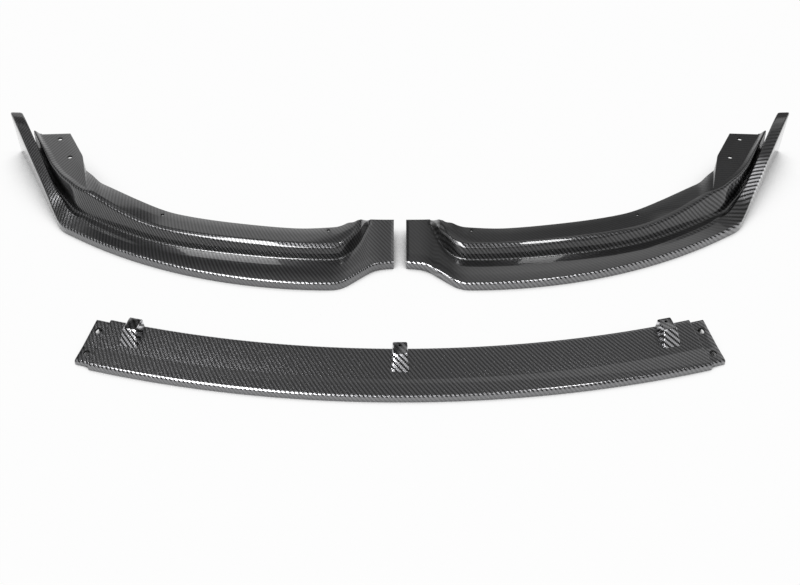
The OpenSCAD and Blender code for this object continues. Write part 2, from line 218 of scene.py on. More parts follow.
def painted_bundle_greys(tree, front, roll, steep, flat, glint):
    """The light and dark bundles' painted grey, from pairs for each way that a face turns."""
    up = make_node(tree, "NewGeometry").other("Normal").parts()[2]
    x, y, z = make_node(tree, "TexCoord").other("Object").parts()
    low = 1 - z.ramp(FRONT_TOP, FRONT_TOP + FRONT_FADE)
    leaning, level = up.ramp(*LEANING), up.ramp(*LEVEL)
    low_front, low_roll = low * (1 - leaning), low * leaning * (1 - level)
    greys = []
    for way in range(2):
        # Painted shine: the grey is picked by how steep the face is and how low it lies, not by the
        # lamps.
        grey = steep[way] + level * (flat[way] - steep[way])
        grey = grey + low_front * (front[way] - steep[way]) + low_roll * (roll[way] - steep[way])
        greys.append(grey)
    # The right fin's painted highlight is added to the light bundles.
    return greys[0] + fin_glint(x, y) * glint, greys[1]


def twill(name, front, roll, steep, flat, glint=0.0, roughness=PRINT_ROUGHNESS):
    """The print, from the painted greys of its bundles on each kind of face."""
    material, tree, shader = new_material(name)
    lay = make_node(tree, "UVMap", {"uv_map": "lay"})
    warp = across_bundles(lay, STRIPE_ANGLE + QUARTER)
    weft = across_bundles(lay, STRIPE_ANGLE + 3 * QUARTER)
    light = (warp.maths("FLOOR") + weft.maths("FLOOR")) % REPEAT < LIGHT_SHARE
    off_warp = (warp % 1 - 0.5).maths("ABSOLUTE")
    off_weft = (weft % 1 - 0.5).maths("ABSOLUTE")
    edge = light * off_weft + (1 - light) * off_warp
    crown = 1 - (edge * 2).maths("POWER", CROWN_POWER)
    bright, dark = painted_bundle_greys(tree, front, roll, steep, flat, glint)
    grey = (dark + light * (bright - dark)) * (1 - CROWN_SHADE + crown * CROWN_SHADE)
    plug(tree, shader.inputs["Base Color"], grey_colour(grey, BLUE_CAST))
    shader.inputs["Metallic"].default_value = 1.0
    shader.inputs["Roughness"].default_value = roughness
    bump = crown.node("Bump", None, Strength=CROWN_BUMP, Distance=CROWN_DEPTH, Height=crown)
    plug(tree, shader.inputs["Normal"], bump)
    shader.inputs["Coat Weight"].default_value = 1.0
    shader.inputs["Coat Roughness"].default_value = COAT_ROUGHNESS
    shader.inputs["Coat IOR"].default_value = COAT_IOR
    return material


# Each moulding gets its own painted greys, lit and shaded copies of one print.
left_print_painted_shine = twill(
    "twill_left_painted_shine", front=(0.19, 0.14), roll=(0.28, 0.01), steep=(0.1, 0.01), flat=(0.08, 0.03)
)
right_print_painted_shine = twill(
    "twill_right_painted_shine",
    front=(0.24, 0.13),
    roll=(0.55, 0.01),
    steep=(0.1, 0.01),
    flat=(0.045, 0.03),
    glint=0.8,
)
blade_print_painted_shine = twill(
    "twill_blade_painted_shine",
    front=(0.24, 0.16),
    roll=(0.4, 0.01),
    steep=(0.7, 0.01),
    flat=(0.12, 0.03),
    roughness=0.22,
)

# %% [markdown]
# ## The bare underside
# Nobody prints the hidden side. It is the raw plastic, black and slightly rough, with the faint
# mottle that a warm mould leaves.


# %% Raw black plastic
RAW_GREY, RAW_ROUGHNESS, ROUGHNESS_SWING = 0.012, 0.5, 0.2
MOTTLE_SCALE, MOTTLE_DETAIL, MOTTLE_BUMP, MOTTLE_DEPTH = 220.0, 3.0, 0.2, 0.1 * MM


def raw_plastic():
    material, tree, shader = new_material("raw_plastic")
    place = make_node(tree, "TexCoord").other("Object")
    mottle = place.node("TexNoise", None, Vector=place, Scale=MOTTLE_SCALE, Detail=MOTTLE_DETAIL)
    plug(tree, shader.inputs["Base Color"], grey_colour(RAW_GREY + mottle * RAW_GREY))
    plug(tree, shader.inputs["Roughness"], RAW_ROUGHNESS + mottle * ROUGHNESS_SWING)
    bump = mottle.node("Bump", None, Strength=MOTTLE_BUMP, Distance=MOTTLE_DEPTH, Height=mottle)
    plug(tree, shader.inputs["Normal"], bump)
    return material


underside = raw_plastic()

# %% [markdown]
# ## Curves through a few numbers
# A wing is described as its section, a line of nine corners, which changes from the inner end
# to the fin. Each depth and height is given at a few stations along the front edge and runs
# smoothly between them, without swinging past any of them.


# %% Smooth tables and runs
def rise(table, i):
    return (table[i + 1][1] - table[i][1]) / (table[i + 1][0] - table[i][0])


def slope_at(table, i):
    if i in (0, len(table) - 1):
        return 0
    a, b = rise(table, i - 1), rise(table, i)
    return 0 if a * b <= 0 else 2 * a * b / (a + b)


def smooth(table, s):
    """The value at s of a curve through (s, value) pairs."""
    if s <= table[0][0]:
        return table[0][1]
    for i in range(len(table) - 1):
        if s <= table[i + 1][0]:
            d = table[i + 1][0] - table[i][0]
            u = (s - table[i][0]) / d
            ends = table[i][1] * (2 * u**3 - 3 * u**2 + 1) + table[i + 1][1] * (3 * u**2 - 2 * u**3)
            out, into = slope_at(table, i), slope_at(table, i + 1)
            return ends + d * (out * (u**3 - 2 * u**2 + u) + into * (u**3 - u**2))
    return table[-1][1]


def advance(x, y, heading, length, turn):
    """Goes along a run of that length that turns evenly, in degrees."""
    a, b = math.radians(heading), math.radians(heading + turn)
    if turn == 0:
        return x + length * math.cos(a), y + length * math.sin(a), heading
    r = length / (b - a)
    return x + r * (math.sin(b) - math.sin(a)), y - r * (math.cos(b) - math.cos(a)), heading + turn


# %% [markdown]
# ## The wing's front edge
# Seen from above, the front edge leaves the flat joining tab, dips forward, runs along one long
# sweep, and turns a tight corner into the fin. The turns add up to the fin's heading. All
# lengths here are millimetres, as on the drawing, and they become metres at the very end.

# %% Front edge of the right wing
WALL = 3
WING_GAP, BLADE_TO_WING = 17, 201.5
TAB_RUN, TAB_HEADING, TAB_D = 14, -6, 84
DIP_TURN, DIP_RUN, DIP_R = 36, 36, 35
SWEEP_R, SWEEP_RUN = 640, 368
CORNER_LEAD, CORNER_R = 26, 45
FIN_HEADING, FIN_RUN, FIN_PAST = 63, 203, 41


def arc(r, turn):
    return r * math.radians(turn)


SWEEP_TURN = math.degrees(SWEEP_RUN / SWEEP_R)
RUNS = [
    (TAB_RUN, 0),
    (arc(DIP_R, DIP_TURN), -DIP_TURN),
    (DIP_RUN, 0),
    (arc(DIP_R, DIP_TURN - TAB_HEADING), DIP_TURN - TAB_HEADING),
    (SWEEP_RUN, SWEEP_TURN),
    (CORNER_LEAD, 0),
    (arc(CORNER_R, FIN_HEADING - SWEEP_TURN), FIN_HEADING - SWEEP_TURN),
    (FIN_RUN, 0),
]
DIP_END, SWEEP_END, CORNER_START, CORNER_END, FRONT_END = (
    sum(run[0] for run in RUNS[:n]) for n in (4, 5, 6, 7, 8)
)
BODY_END = FRONT_END - FIN_PAST


def front_from(y, s):
    """The place and heading at s of a front edge that starts at this y."""
    x, heading = 0, TAB_HEADING
    for length, turn in RUNS:
        part = min(s, length) / length
        x, y, heading = advance(x, y, heading, length * part, turn * part)
        s -= length
        if s <= 0:
            break
    return x, y, heading


START_Y = -front_from(0, DIP_END)[1]


def front_at(s):
    return front_from(START_Y, s)


SET_DEPTH = BLADE_TO_WING + front_at(FRONT_END)[1]
WING_Y = BLADE_TO_WING - SET_DEPTH / 2
print("front edge", round(FRONT_END, 1), "mm long, set", round(SET_DEPTH, 1), "mm deep")

# %% [markdown]
# ## The wing's section
# From front to back the nine corners are the foot and top of the front face, the ridge, the
# front and back of the valley floor, the brow, the crease, and the middle and rear edge of the
# flange. Towards the fin the front face climbs while the ridge follows it, so one and the same
# skin becomes the fin, the slot, the rib and the mounting plate.

# %% Sizes and stations of the section
LIP_H, LIP_R, SHELF_H, SHELF_SLOPE, SHELF_IN, SHELF_OUT = 12, 4, 13.5, 3.5, 45, 33
FLANGE_H, FLANGE_D, FLANGE_FALL, NECK_D = 37, 32, 2, 27.5
PLATE_H, PLATE_D, FOLD_DROP = 54, 38, 5
BROW_RISE, BROW_W, BROW_PAST = 8, 9, 9
FIN_H, FIN_W, FIN_LEAN, SLOT_W, SLOT_FLOOR = 70, 13.5, 3, 4.5, 24
TAB_STRIP, TIP_R, END_FAN = 12, 3, 87
FACET_START = TAB_RUN + 21
FACET_TOP, FACET_END = FACET_START + 18, FACET_START + 33


def on_sweep(share):
    return DIP_END + share * SWEEP_RUN


def on_fin(share):
    return CORNER_END + share * FIN_RUN


FLANGE_EVEN, CLIMB_START, NECK_START = on_sweep(0.16), on_sweep(0.67), on_sweep(0.79)
TURNED_OUT, HALF_UP, SLOT_START = on_fin(0.05), on_fin(0.22), on_fin(0.39)
FOLD, FOLD_W = CORNER_START + 0.25 * (CORNER_END - CORNER_START), 0.6
FOLD_LOW, FOLD_HIGH = 54, 80
BROW_END = BODY_END + BROW_PAST
SQUARE_AT = BODY_END * math.sqrt(FIN_HEADING / END_FAN)
REAR_LINE = FIN_W + SLOT_W + BROW_W + PLATE_D
TAB_REAR_Y = START_Y + TAB_D


def tab_rear(s):
    return TAB_REAR_Y - front_at(s)[1]


# %% [markdown]
# Depths behind the front edge, in pairs of a station and a depth. The skew carries the flange's
# rear edge along, because the fold between flange and plate crosses the sections.

# %% Tables of depths
SKEW = [(on_sweep(0.69), 0), (FOLD, FOLD_LOW), (FOLD + FOLD_W, FOLD_HIGH), (BODY_END, 0)]
FLOOR_REAR = [
    (FACET_START, tab_rear(FACET_START) - TAB_STRIP),
    (FACET_TOP, SHELF_IN + 15),
    (FACET_END, SHELF_IN + 5),
    (DIP_END, SHELF_IN),
    (on_sweep(0.3), SHELF_IN - 1.5),
    (NECK_START, SHELF_OUT),
    (CORNER_START, SHELF_OUT - 1.5),
    (TURNED_OUT, FIN_W + 12.3),
    (HALF_UP, FIN_W + 6.5),
    (SLOT_START, FIN_W + SLOT_W),
]
FLOOR_W = [
    (DIP_END, 14),
    (SWEEP_END, 10),
    (CORNER_START, 6),
    (TURNED_OUT, 4.5),
    (SLOT_START, SLOT_W - 0.7),
]
BROW_FOOT = [
    (FACET_START, 3),
    (FACET_TOP, 5),
    (FACET_END, 3),
    (NECK_START, 3.5),
    (CORNER_START, 7),
    (TURNED_OUT, 5),
    (HALF_UP, 1.8),
    (SLOT_START, 0.5),
]
BROW_BAND = [
    (FACET_START, 4),
    (FACET_TOP, 13),
    (FACET_END, 5.5),
    (CLIMB_START, 6),
    (CORNER_START, BROW_W - 1),
    (TURNED_OUT, BROW_W + 0.6),
    (SLOT_START, BROW_W),
    (BODY_END, BROW_W - 2),
]
FLANGE_RUN = [
    (FACET_START, 5),
    (FACET_TOP - 6, 1.3),
    (FACET_TOP, 5),
    (FACET_TOP + 7, FLANGE_D / 2 + 0.5),
    (FACET_END, FLANGE_D - 4.5),
    (FACET_END + 12, FLANGE_D + 2.8),
    (FLANGE_EVEN, FLANGE_D),
    (NECK_START, FLANGE_D),
    (CORNER_START, NECK_D),
    (FOLD + FOLD_LOW, NECK_D + 0.5),
    (SLOT_START, PLATE_D - 0.5),
]
RIDGE_D = [
    (CLIMB_START, 17),
    (SWEEP_END, 18),
    (CORNER_START, 21.5),
    (TURNED_OUT, FIN_W + 4),
    (HALF_UP, FIN_W + 0.8),
    (SLOT_START, FIN_W),
]

# %% [markdown]
# Heights above the floor, in the same way. The valley floor climbs slightly to the rear, like
# the tab, and the flange falls slightly to its rear edge.

# %% Tables of heights
LIP_TOP = [
    (CORNER_START, LIP_H),
    (on_fin(0.04), LIP_H + 4),
    (on_fin(0.15), LIP_H + 18),
    (on_fin(0.49), FIN_H - 20),
    (FRONT_END - 12, FIN_H),
]
RIDGE_TOP = [
    (on_sweep(0.86), SHELF_H),
    (SWEEP_END, SHELF_H + 1),
    (CORNER_START, SHELF_H + 4),
    (on_fin(0.04), SHELF_H + 14),
    (HALF_UP, SHELF_H + 26),
    (on_fin(0.49), FIN_H - 16),
    (FRONT_END - 12, FIN_H + 1),
]
FLOOR_TOP = [(CLIMB_START, SHELF_H), (CORNER_START, SHELF_H + 4), (SLOT_START, SLOT_FLOOR)]
FLOOR_SLOPE = [(CLIMB_START, SHELF_SLOPE), (CORNER_START, 0)]


def shelf_top(s, depth):
    slope = math.tan(math.radians(smooth(FLOOR_SLOPE, s)))
    return smooth(FLOOR_TOP, s) + (depth - smooth(RIDGE_D, s)) * slope


TAB_REAR_H = shelf_top(FACET_START, tab_rear(FACET_START) - TAB_STRIP / 2)
BROW_TOP = [
    (FACET_START, TAB_REAR_H),
    (FACET_TOP, FLANGE_H - 4),
    (FACET_END, FLANGE_H - 4),
    (CLIMB_START, FLANGE_H - 1),
    (SWEEP_END, PLATE_H - 4),
    (CORNER_START, PLATE_H + 1),
    (SLOT_START, PLATE_H + BROW_RISE - 3),
    (BODY_END - 30, PLATE_H + BROW_RISE),
]
CREASE_TOP = [
    (FACET_START, TAB_REAR_H),
    (FACET_TOP, FLANGE_H - 1),
    (FACET_END, FLANGE_H),
    (CLIMB_START, FLANGE_H),
    (SWEEP_END, PLATE_H - 4),
    (FOLD, PLATE_H),
]
REAR_FALL = [
    (FACET_TOP, 0),
    (FLANGE_EVEN, FLANGE_FALL),
    (NECK_START, FLANGE_FALL),
    (FOLD, FOLD_DROP),
    (FOLD + FOLD_W, 0),
]


def rounded_end(s, end, r):
    """How far an end of radius r has drawn in at s."""
    past = max(0, s - end + r)
    return r - math.sqrt(max(0, r**2 - past**2))


# %% [markdown]
# The sections run straight back at the inner end and fan round towards the fin, so that the
# last one closes the plate.


# %% One section
def section_angle(s):
    return 90 + END_FAN * (s / BODY_END) ** 2


def wing_corners(s):
    """The nine corners of the section at s, as (depth, height)."""
    draw_in = rounded_end(s, FRONT_END, TIP_R)
    down = rounded_end(s, BROW_END, BROW_PAST)
    on_tab = s <= FACET_START
    wide = 1 if s < SQUARE_AT else 1 / math.sin(math.radians(section_angle(s) - FIN_HEADING))
    floor = tab_rear(s) - TAB_STRIP if on_tab else smooth(FLOOR_REAR, s)
    front = floor - smooth(FLOOR_W, s)
    foot = floor + smooth(BROW_FOOT, s)
    band = foot + smooth(BROW_BAND, s)
    rear = tab_rear(s) if on_tab else REAR_LINE if s > SLOT_START else band + smooth(FLANGE_RUN, s)
    middle = (band + rear) / 2
    lip, brow, crease, fall = (smooth(t, s) for t in (LIP_TOP, BROW_TOP, CREASE_TOP, REAR_FALL))
    out = FIN_LEAN * (lip - LIP_H) / (FIN_H - LIP_H)
    points = [
        (draw_in, 0),
        (draw_in - out, lip - draw_in),
        (wide * smooth(RIDGE_D, s) - draw_in, smooth(RIDGE_TOP, s) - draw_in),
        (wide * front - draw_in, shelf_top(s, front)),
        (wide * floor, shelf_top(s, floor)),
    ]
    if on_tab:
        points += [(wide * depth, shelf_top(s, depth)) for depth in (foot, band, middle, rear)]
    else:
        points += [
            (wide * foot, brow - down),
            (wide * band, crease - down),
            (wide * middle, crease - fall / 2 - down),
            (wide * rear, crease - fall - down),
        ]
    return np.array(points)


# %% [markdown]
# ## Rounding the corners
# Every corner but the first and the last two is rounded by a short curve that starts and ends
# on its two sides. More points on the curve than the plain model has give an even reflection.
# The brow's foot is rounded less than there, because a wide hollow would gather stray light.

# %% Rounded sections
LEAST_CUT, SIDE_SHARE = 0.8, 0.45
WING_ROUNDING = [(0, 1), (LIP_R, 9), (3.5, 6), (2, 4), (3, 5), (5, 7), (6, 7), (0, 1), (0, 1)]


def rounded(corners, rounding):
    points = []
    for i, (radius, count) in enumerate(rounding):
        if count == 1:
            points.append(corners[i])
            continue
        back_way, ahead_way = corners[i] - corners[i - 1], corners[i + 1] - corners[i]
        back_l, ahead_l = np.linalg.norm(back_way), np.linalg.norm(ahead_way)
        u, v = back_way / back_l, ahead_way / ahead_l
        turn = math.acos(max(-1, min(1, float(u @ v))))
        wanted = max(radius * math.tan(turn / 2), LEAST_CUT)
        cut = min(wanted, SIDE_SHARE * back_l, SIDE_SHARE * ahead_l)
        start, end = corners[i] - cut * u, corners[i] + cut * v
        for t in np.linspace(0, 1, count):
            points.append((1 - t) ** 2 * start + 2 * t * (1 - t) * corners[i] + t**2 * end)
    return np.array(points)


def in_place(s, profile):
    """A flat section, in its place on the right wing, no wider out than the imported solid."""
    x, y, _ = front_at(s)
    a = math.radians(section_angle(s))
    along = WING_GAP / 2 + x + profile[:, 0] * math.cos(a)
    along = np.minimum(along, cad_box[1][0] / MM)
    return np.stack([along, WING_Y + y + profile[:, 0] * math.sin(a), profile[:, 1]], 1)


def wing_row(s):
    """The points of one row. The last two move along with the fold."""
    own = in_place(s, rounded(wing_corners(s), WING_ROUNDING))
    moved = s + smooth(SKEW, s)
    rear = in_place(moved, wing_corners(moved)[-1:])[0]
    own[-1, :2] = rear[:2]
    own[-2, :2] = (own[-3, :2] + rear[:2]) / 2
    return own


# %% [markdown]
# ## Laying the cloth
# The print follows the sweep. In each row a step from point to point is split into the part
# that goes along the sweep's heading and the part square to it, and the sums of those parts are
# the two UV coordinates. One middle column ties the rows together. The heading is evened out
# over a hand's width, so the stripes bend round the corner without a break.

# %% UV coordinates of a grid of points
HEADING_REACH, HEADING_SAMPLES = 40, 9


def lay_cloth(rows, headings, middle):
    """UV of every point in millimetres, along the heading and square to it."""
    a = np.radians(headings)
    ahead = np.stack([np.cos(a), np.sin(a), 0 * a], 1)
    aside = np.stack([-np.sin(a), np.cos(a), 0 * a], 1)
    spine = np.diff(rows[:, middle], axis=0)
    base = []
    for way in (ahead, aside):
        gone = (spine * (way[1:] + way[:-1]) / 2).sum(1)
        base.append(np.r_[0, np.cumsum(gone)])
    steps = np.diff(rows, axis=1)
    along = np.einsum("ikc,ic->ik", steps, ahead)
    square = np.linalg.norm(steps - along[:, :, None] * ahead[:, None, :], axis=2)
    uv = []
    for part, start in zip((along, square), base):
        total = np.concatenate([np.zeros((len(rows), 1)), np.cumsum(part, axis=1)], axis=1)
        uv.append(total - total[:, middle : middle + 1] + start[:, None])
    return np.stack(uv, 2)


def even_heading(s):
    reach = np.linspace(-HEADING_REACH, HEADING_REACH, HEADING_SAMPLES)
    near = np.clip(s + reach, DIP_END, FRONT_END)
    return float(np.mean([front_at(at)[2] for at in near]))


# %% [markdown]
# ## From rows of points to a skin
# A grid primitive has one row of vertices for each section. Every vertex is put on its section,
# which lofts the skin in one go, and the grid's faces stay in tidy rows for a clean shine.


# %% Skins, walls and holes
EDGE_BREAK, WALL_EDGE, SMOOTH_UP_TO = 0.35, math.radians(58), math.radians(34)
HOLE_SIDES = 48


def pick_only(obj):
    bpy.ops.object.select_all(action="DESELECT")
    obj.select_set(True)
    bpy.context.view_layer.objects.active = obj


def edit(obj, *steps):
    """Runs editing steps on one object, starting with nothing selected that isn't meant."""
    pick_only(obj)
    bpy.ops.object.mode_set(mode="EDIT")
    for step in steps:
        step()
    bpy.ops.object.mode_set(mode="OBJECT")


def select_all():
    bpy.ops.mesh.select_all(action="SELECT")


def apply(obj, kind, **settings):
    pick_only(obj)
    modifier = obj.modifiers.new(kind, kind)
    for name, value in settings.items():
        setattr(modifier, name, value)
    bpy.ops.object.modifier_apply(modifier=modifier.name)


def new_lay(mesh, uv_of):
    """Replaces the UV maps by one, from the corner's vertex number to its UV in metres."""
    while mesh.uv_layers:
        mesh.uv_layers.remove(mesh.uv_layers[0])
    layer = mesh.uv_layers.new(name="lay")
    for loop in mesh.loops:
        layer.data[loop.index].uv = uv_of(loop.vertex_index)


def turn_up(skin):
    """Turns a skin over if its largest face looks down."""
    if max(skin.data.polygons, key=lambda face: face.area).normal.z < 0:
        edit(skin, select_all, bpy.ops.mesh.flip_normals)


def loft(name, rows, uv):
    """A skin through rows of points in millimetres, with its top side outwards."""
    count, width = rows.shape[:2]
    bpy.ops.mesh.primitive_grid_add(x_subdivisions=width - 1, y_subdivisions=count - 1, size=1)
    skin = bpy.context.object
    skin.name = skin.data.name = name
    mesh = skin.data
    grid = np.array([vertex.co[:] for vertex in mesh.vertices])
    k = np.rint((grid[:, 0] + 0.5) * (width - 1)).astype(int)
    i = np.rint((grid[:, 1] + 0.5) * (count - 1)).astype(int)
    mesh.vertices.foreach_set("co", (rows[i, k] * MM).ravel())
    new_lay(mesh, lambda v: uv[i[v], k[v]] * MM)
    mesh.update()
    turn_up(skin)
    return skin


def spread(a, b, n):
    return list(np.linspace(a, b, n, endpoint=False))


def thicken(skin, finish):
    """Gives the skin its wall, inwards, and takes the sharpness off the wall's edges."""
    skin.data.materials.append(finish)
    skin.data.materials.append(underside)
    apply(
        skin,
        "SOLIDIFY",
        thickness=WALL * MM,
        offset=-1,
        use_even_offset=True,
        use_quality_normals=True,
        material_offset=1,
        material_offset_rim=0,
    )
    width = EDGE_BREAK * MM
    apply(skin, "BEVEL", width=width, segments=2, limit_method="ANGLE", angle_limit=WALL_EDGE)


def combine(skin, operation, block, finish):
    """Adds a block to the skin or cuts it away, and removes the block."""
    block.data.materials.append(finish)
    apply(skin, "BOOLEAN", operation=operation, solver="MANIFOLD", object=block)
    bpy.data.objects.remove(block)


def drill(skin, holes):
    """Cuts round holes. Each is a point, a direction and a diameter, in millimetres."""
    for at, direction, diameter in holes:
        bpy.ops.mesh.primitive_cylinder_add(
            vertices=HOLE_SIDES,
            radius=diameter / 2 * MM,
            depth=4 * WALL * MM,
            location=Vector(at) * MM,
            rotation=Vector(direction).to_track_quat("Z", "Y").to_euler(),
        )
        combine(skin, "DIFFERENCE", bpy.context.object, underside)


def finish_shading(skin):
    pick_only(skin)
    bpy.ops.object.shade_smooth_by_angle(angle=SMOOTH_UP_TO)
    print(skin.name, len(skin.data.polygons), "faces")


# %% [markdown]
# ## The two wings
# The stations are close together where the form turns, and wider along the long sweep. Behind
# the plate only the rib and the fin go on, and then the fin alone, so the other columns are
# deleted there, and the fin's open end gets a face of its own before the skin is thickened.

# %% Rows of the right wing
STATIONS = np.array(
    spread(0, FACET_START, 8)
    + spread(FACET_START, FACET_END, 22)
    + spread(FACET_END, DIP_END, 12)
    + spread(DIP_END, SWEEP_END, 56)
    + spread(SWEEP_END, CORNER_START, 10)
    + spread(CORNER_START, FOLD, 3)
    + [FOLD]
    + spread(FOLD + FOLD_W, CORNER_END, 9)
    + spread(CORNER_END, BODY_END, 40)
    + spread(BODY_END, BROW_END - 2, 5)
    + spread(BROW_END - 2, BROW_END, 5)
    + spread(BROW_END, FRONT_END - TIP_R, 8)
    + [FRONT_END - TIP_R * share for share in (1, 0.55, 0.2, 0.04, 0)]
)


def first_point(corner):
    return sum(count for _, count in WING_ROUNDING[:corner])


wing_rows = np.array([wing_row(s) for s in STATIONS])
wing_lay = lay_cloth(wing_rows, [even_heading(s) for s in STATIONS], first_point(5))
body_row, brow_row = (int(np.argmin(abs(STATIONS - end))) for end in (BODY_END, BROW_END))
fin_last, brow_last = first_point(4) - 1, first_point(7) - 1


# %% [markdown]
# Two small holes lie in the flange, part of the way to its rear edge, and two larger ones lie
# on a line along the plate.


# %% Holes and skins of the wings
FLANGE_HOLE, FLANGE_HOLES_AT = 4.5, ((DIP_END + 7, 0.82), (on_sweep(0.73), 0.7))
PLATE_HOLE, PLATE_HOLES_AT, PLATE_HOLES_IN = 7, (14, 64), 17


def wing_holes():
    """Pairs of a place and a diameter."""
    holes = []
    for s, share in FLANGE_HOLES_AT:
        c = wing_corners(s)
        depth = (1 - share) * c[6][0] + share * c[8][0]
        holes.append((in_place(s, np.array([[depth, c[7][1]]]))[0], FLANGE_HOLE))
    fin_a = math.radians(FIN_HEADING)
    depth = (REAR_LINE - PLATE_HOLES_IN) / math.sin(math.radians(section_angle(BODY_END)) - fin_a)
    end = in_place(BODY_END, np.array([[depth, PLATE_H]]))[0]
    for step in PLATE_HOLES_AT:
        holes.append((end - step * np.array([math.cos(fin_a), math.sin(fin_a), 0]), PLATE_HOLE))
    return holes


def wing_skin(name, side, finish):
    """side is 1 for the right wing, and -1 for the left one, its mirror image."""
    rows = wing_rows * (side, 1, 1)
    skin = loft(name, rows, wing_lay * (side, 1))
    width = rows.shape[1]
    edit(skin, lambda: bpy.ops.mesh.select_all(action="DESELECT"))
    for face in skin.data.polygons:
        row, column = (min(part) for part in zip(*(divmod(v, width) for v in face.vertices)))
        past_brow = row >= brow_row and column >= fin_last
        face.select = past_brow or (row >= body_row and column >= brow_last)
    edit(
        skin,
        lambda: bpy.ops.mesh.select_mode(type="FACE"),
        lambda: bpy.ops.mesh.delete(type="FACE"),
        lambda: bpy.ops.mesh.select_mode(type="VERT"),
        lambda: bpy.ops.mesh.select_all(action="DESELECT"),
    )
    end = {tuple(np.round(point * MM, 6)) for point in rows[-1, : fin_last + 1]}
    for vertex in skin.data.vertices:
        vertex.select = tuple(np.round(vertex.co, 6)) in end
    edit(skin, bpy.ops.mesh.edge_face_add, select_all, bpy.ops.mesh.normals_make_consistent)
    turn_up(skin)
    thicken(skin, finish)
    drill(skin, [(at * (side, 1, 1), (0, 0, 1), diameter) for at, diameter in wing_holes()])
    finish_shading(skin)
    return skin


right_wing = wing_skin("right_wing_skin", 1, right_print_painted_shine)
left_wing = wing_skin("left_wing_skin", -1, left_print_painted_shine)

# %% [markdown]
# ## The blade
# The blade is one section carried round a very wide arc. At each end it steps down by one wall
# and back a little, so that a wing's tab can lie on it flush. Its rear edge turns down to the
# floor, and each end is open.

# %% Blade
BLADE_R, BLADE_W, BLADE_D = 1381, 769, 72.5
BLADE_LIP, BLADE_SHELF, BLADE_CREASE, BLADE_REAR = 10, 27, 13, 22
BLADE_TAB, TAB_BACK, TAB_STEP = 20, 4, 1
BLADE_ROWS, FIRST_ROW = 111, 6
BLADE_HALF = math.asin(BLADE_W / 2 / BLADE_R)
BLADE_Y = BLADE_R - SET_DEPTH / 2
BLADE_ROUNDING = [(0, 1), (4, 9), (30, 9), (4, 9), (0, 1)]


def blade_row(length, down):
    """A row at a length along the arc. down is 1 on a tab, and 0 on the blade itself."""
    a = length / BLADE_R
    rear, low = BLADE_D - TAB_BACK * down / 2, WALL * down
    corners = np.array(
        [
            (TAB_BACK * down, 0),
            (TAB_BACK * down, BLADE_LIP - low),
            (BLADE_SHELF, BLADE_CREASE - low),
            (rear, BLADE_REAR - low),
            (rear, 0),
        ]
    )
    depth, height = rounded(corners, BLADE_ROUNDING).T
    radius = BLADE_R - depth
    return np.stack([radius * math.sin(a), BLADE_Y - radius * math.cos(a), height], 1)


half = BLADE_HALF * BLADE_R
places = [(-half - part * BLADE_TAB, 1) for part in (1, 0.5)]
places += [(-half - TAB_STEP, 1), (-half - 0.3 * TAB_STEP, 1), (-half, 0), (-half + 1, 0)]
places += [(at, 0) for at in np.linspace(-half + FIRST_ROW, half - FIRST_ROW, BLADE_ROWS)]
places += [(-at, down) for at, down in reversed(places[:6])]
blade_grid = np.array([blade_row(*place) for place in places])
blade_lay = lay_cloth(blade_grid, [math.degrees(at / BLADE_R) for at, _ in places], 0)
blade = loft("blade_skin", blade_grid, blade_lay)
thicken(blade, blade_print_painted_shine)

# %% [markdown]
# ## The risers
# Three small towers stand on the blade's rear. Each has a steep front slope, a flat top with a
# screw hole, and soft edges. A cube is tapered by moving its corners, its edges are bevelled,
# and it is joined to the blade by a union, then hollowed.

# %% Risers
RISER_H, RISER_W, RISER_D, RISER_SLOPE, RISER_FLARE, RISER_SET = 34, 18, 22, 15, 3, 2
RISER_X, RISER_HOLE = 332, 4
RISER_FOOT = BLADE_CREASE - WALL
RISER_TURN = math.asin(RISER_X / (BLADE_R - BLADE_D + RISER_D / 2))
RISER_STRETCH, RISER_ROUND, HOLLOW_ROUND, BLOCK_EDGE = 0.75, 2.0, 1.0, math.radians(30)
UNDER_FLOOR = -1


def riser_block(turn, inward, foot, round_r):
    """The riser's block, drawn in by inward, at an angle round the blade's arc."""
    rear = BLADE_R - BLADE_D + RISER_SET + inward
    half_w = RISER_W / 2 - inward
    bpy.ops.mesh.primitive_cube_add(size=1)
    block = bpy.context.object
    for vertex in block.data.vertices:
        low = vertex.co.z < 0
        run = RISER_D + (RISER_SLOPE if low else 0) - 2 * inward
        radius = rear + (run if vertex.co.x > 0 else 0)
        side = (half_w + (RISER_FLARE if low else 0)) * (1 if vertex.co.y > 0 else -1)
        x = radius * math.sin(turn) + side * math.cos(turn)
        y = BLADE_Y - radius * math.cos(turn) + side * math.sin(turn)
        vertex.co = Vector((x, y, foot if low else RISER_H - inward)) * MM
    edit(block, select_all, bpy.ops.mesh.normals_make_consistent)
    width = round_r * MM
    apply(block, "BEVEL", width=width, segments=4, limit_method="ANGLE", angle_limit=BLOCK_EDGE)
    lay_block(block, turn)
    return block


def lay_block(block, turn):
    """The print on a riser: across the blade, and up its slopes."""

    def uv_of(v):
        x, y, z = block.data.vertices[v].co
        u = x * math.cos(turn) + y * math.sin(turn)
        return Vector((u, -x * math.sin(turn) + y * math.cos(turn) + z)) * RISER_STRETCH

    new_lay(block.data, uv_of)


for turn in (-RISER_TURN, 0, RISER_TURN):
    combine(blade, "UNION", riser_block(turn, 0, RISER_FOOT, RISER_ROUND), blade_print_painted_shine)
    combine(blade, "DIFFERENCE", riser_block(turn, WALL, UNDER_FLOOR, HOLLOW_ROUND), underside)

# %% [markdown]
# ## Holes in the blade
# Each riser has a small hole near the rear of its top. Each tab has two larger joining holes,
# drilled square to the slope of the tab.

# %% Blade holes
TAB_TILT, TAB_HOLE_H = math.radians(10.7), 10.73
JOINT_HOLE, JOINT_GAP = 9, 35


